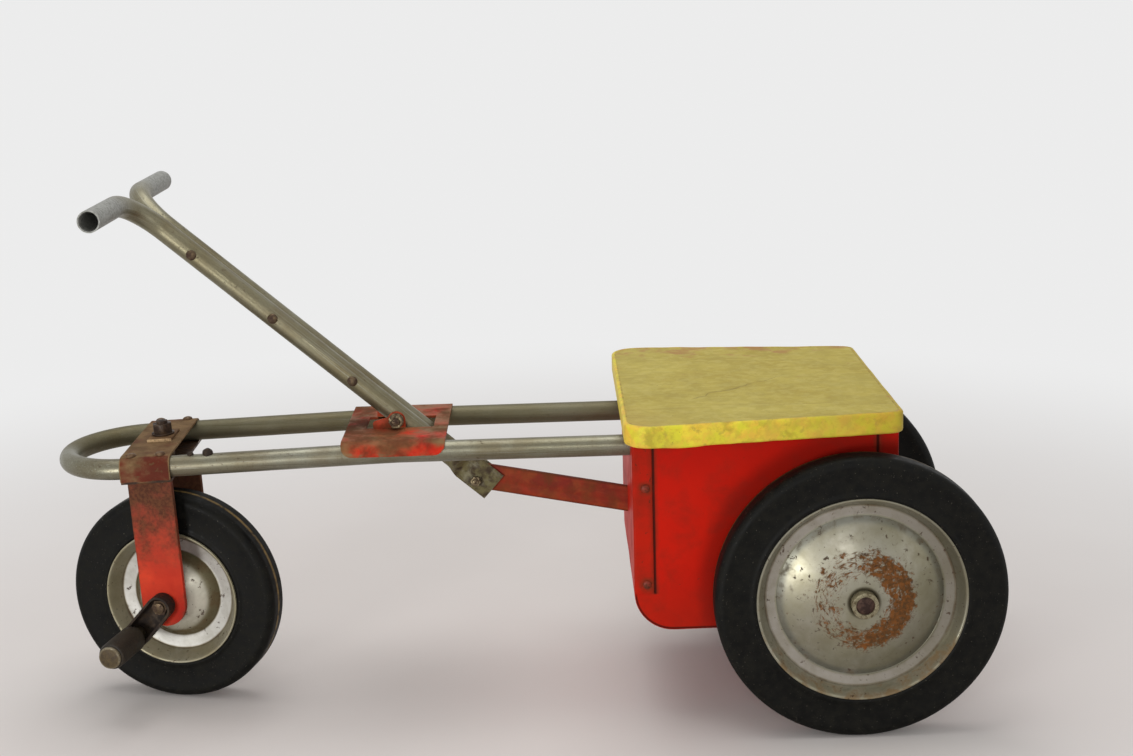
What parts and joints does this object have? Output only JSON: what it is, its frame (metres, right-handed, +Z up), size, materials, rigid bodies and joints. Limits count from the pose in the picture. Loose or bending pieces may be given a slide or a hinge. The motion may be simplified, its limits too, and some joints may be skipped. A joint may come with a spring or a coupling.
{
  "type": "ride-on toy",
  "caption": "Child's lever-driven ride-on: a bent tube frame, steered front fork with footrests, hand lever and rod to a rear crank axle, sheet box and board seat.",
  "frame": {"origin": "centre of the bounding box's footprint, on the ground", "axes": "+X to the rear, so the rider faces -X; +Y to the rider's right; +Z up"},
  "size_m": [0.9873, 0.3814, 0.5625],
  "materials": {
    "tube_steel": "bare steel tube, dulled and stained",
    "bracket_paint": "red paint worn to brown rust",
    "fork_paint": "orange-red paint, mottled and rusted",
    "lever_bracket_paint": "red paint worn to grey steel",
    "rod_paint": "dark red paint",
    "box_paint": "bright red paint, semi-gloss, rust at the rivets",
    "seat_paint": "yellow painted wood, worn on top",
    "batten_wood": "bare softwood",
    "disc_metal": "aged silver paint with rust at the hub",
    "rusty_steel": "rusted steel",
    "dull_steel": "dull steel",
    "arm_steel": "rusty black-brown pressed steel",
    "tyre_rubber": "dusty solid rubber",
    "peg_rubber": "hard black rubber"
  },
  "bodies": {
    "frame": {"frame_tube": "tube_steel", "fork_bracket": "bracket_paint", "bracket_base": "bracket_paint", "kingpin_bush": "rusty_steel", "kingpin_plate": "rusty_steel", "bracket_rivets": "rusty_steel", "accessory_screws": "rusty_steel", "lever_bracket": "lever_bracket_paint", "pivot_bolt": "rusty_steel", "pivot_nut": "dull_steel", "pivot_washers": "dull_steel", "box_wrap": "box_paint", "box_side_left": "box_paint", "box_side_right": "box_paint", "box_rivets": "rusty_steel", "axle_bush_left": "rusty_steel", "axle_bush_right": "rusty_steel", "bush_rivets": "rusty_steel", "seat_board": "seat_paint", "seat_battens": "batten_wood", "tube_clips": "dull_steel", "seat_screws": "dull_steel"},
    "fork": {"fork": "fork_paint", "kingpin": "rusty_steel", "kingpin_nut": "rusty_steel", "kingpin_washers": "rusty_steel", "front_axle": "dull_steel", "front_axle_nuts": "rusty_steel", "front_spacers": "dull_steel", "footrest_left": "arm_steel", "footrest_right": "arm_steel", "peg_rubber_left": "peg_rubber", "peg_rubber_right": "peg_rubber", "peg_bolt_left": "dull_steel", "peg_bolt_right": "dull_steel"},
    "front_wheel": {"front_tyre": "tyre_rubber", "front_disc_left": "disc_metal", "front_disc_right": "disc_metal", "front_hub": "dull_steel"},
    "rear_axle": {"rear_axle_left": "dull_steel", "rear_axle_right": "dull_steel", "crank_web_left": "rusty_steel", "crank_web_right": "rusty_steel", "rear_hub_left": "dull_steel", "rear_disc_left_outer": "disc_metal", "rear_disc_left_inner": "disc_metal", "rear_tyre_left": "tyre_rubber", "drive_pin": "dull_steel", "axle_cap": "dull_steel", "rear_washers": "dull_steel"},
    "rear_wheel_right": {"rear_hub_right": "dull_steel", "rear_disc_right_outer": "disc_metal", "rear_disc_right_inner": "disc_metal", "rear_tyre_right": "tyre_rubber"},
    "lever": {"lever_tube_left": "tube_steel", "lever_tube_right": "tube_steel", "lever_rivets": "rusty_steel", "joint_bolt": "rusty_steel", "joint_nut": "rusty_steel"},
    "drive_rod": {"drive_rod": "rod_paint"}
  },
  "joints": [
    {"name": "steering", "type": "hinge", "parent": "frame", "child": "fork", "pos_m": [-0.37847, 0, 0.28104], "axis": [-0.0314, 0, 0.9995], "range_deg": [-22, 48]},
    {"name": "front_wheel_spin", "type": "hinge", "parent": "fork", "child": "front_wheel", "pos_m": [-0.37721, 0.0009, 0.11707], "axis": [0.2248, 0.9744, 0.0071], "continuous": true},
    {"name": "rear_axle_spin", "type": "hinge", "parent": "frame", "child": "rear_axle", "pos_m": [0.34569, 0, 0.148], "axis": [0, 1, 0], "continuous": true},
    {"name": "free_wheel_spin", "type": "hinge", "parent": "rear_axle", "child": "rear_wheel_right", "pos_m": [0.34569, 0.1587, 0.148], "axis": [0, 1, 0], "continuous": true},
    {"name": "lever_swing", "type": "hinge", "parent": "frame", "child": "lever", "pos_m": [-0.12512, 0, 0.311], "axis": [0, 1, 0], "range_deg": [-2.3, 38.5]},
    {"name": "rod_swing", "type": "hinge", "parent": "lever", "child": "drive_rod", "pos_m": [-0.04472, 0, 0.23585], "axis": [0, 1, 0], "range_deg": [-45, 3]}
  ],
  "couplings": [
    {"joint": "rod_swing", "follows": "lever_swing", "ratio": -1.158}
  ]
}
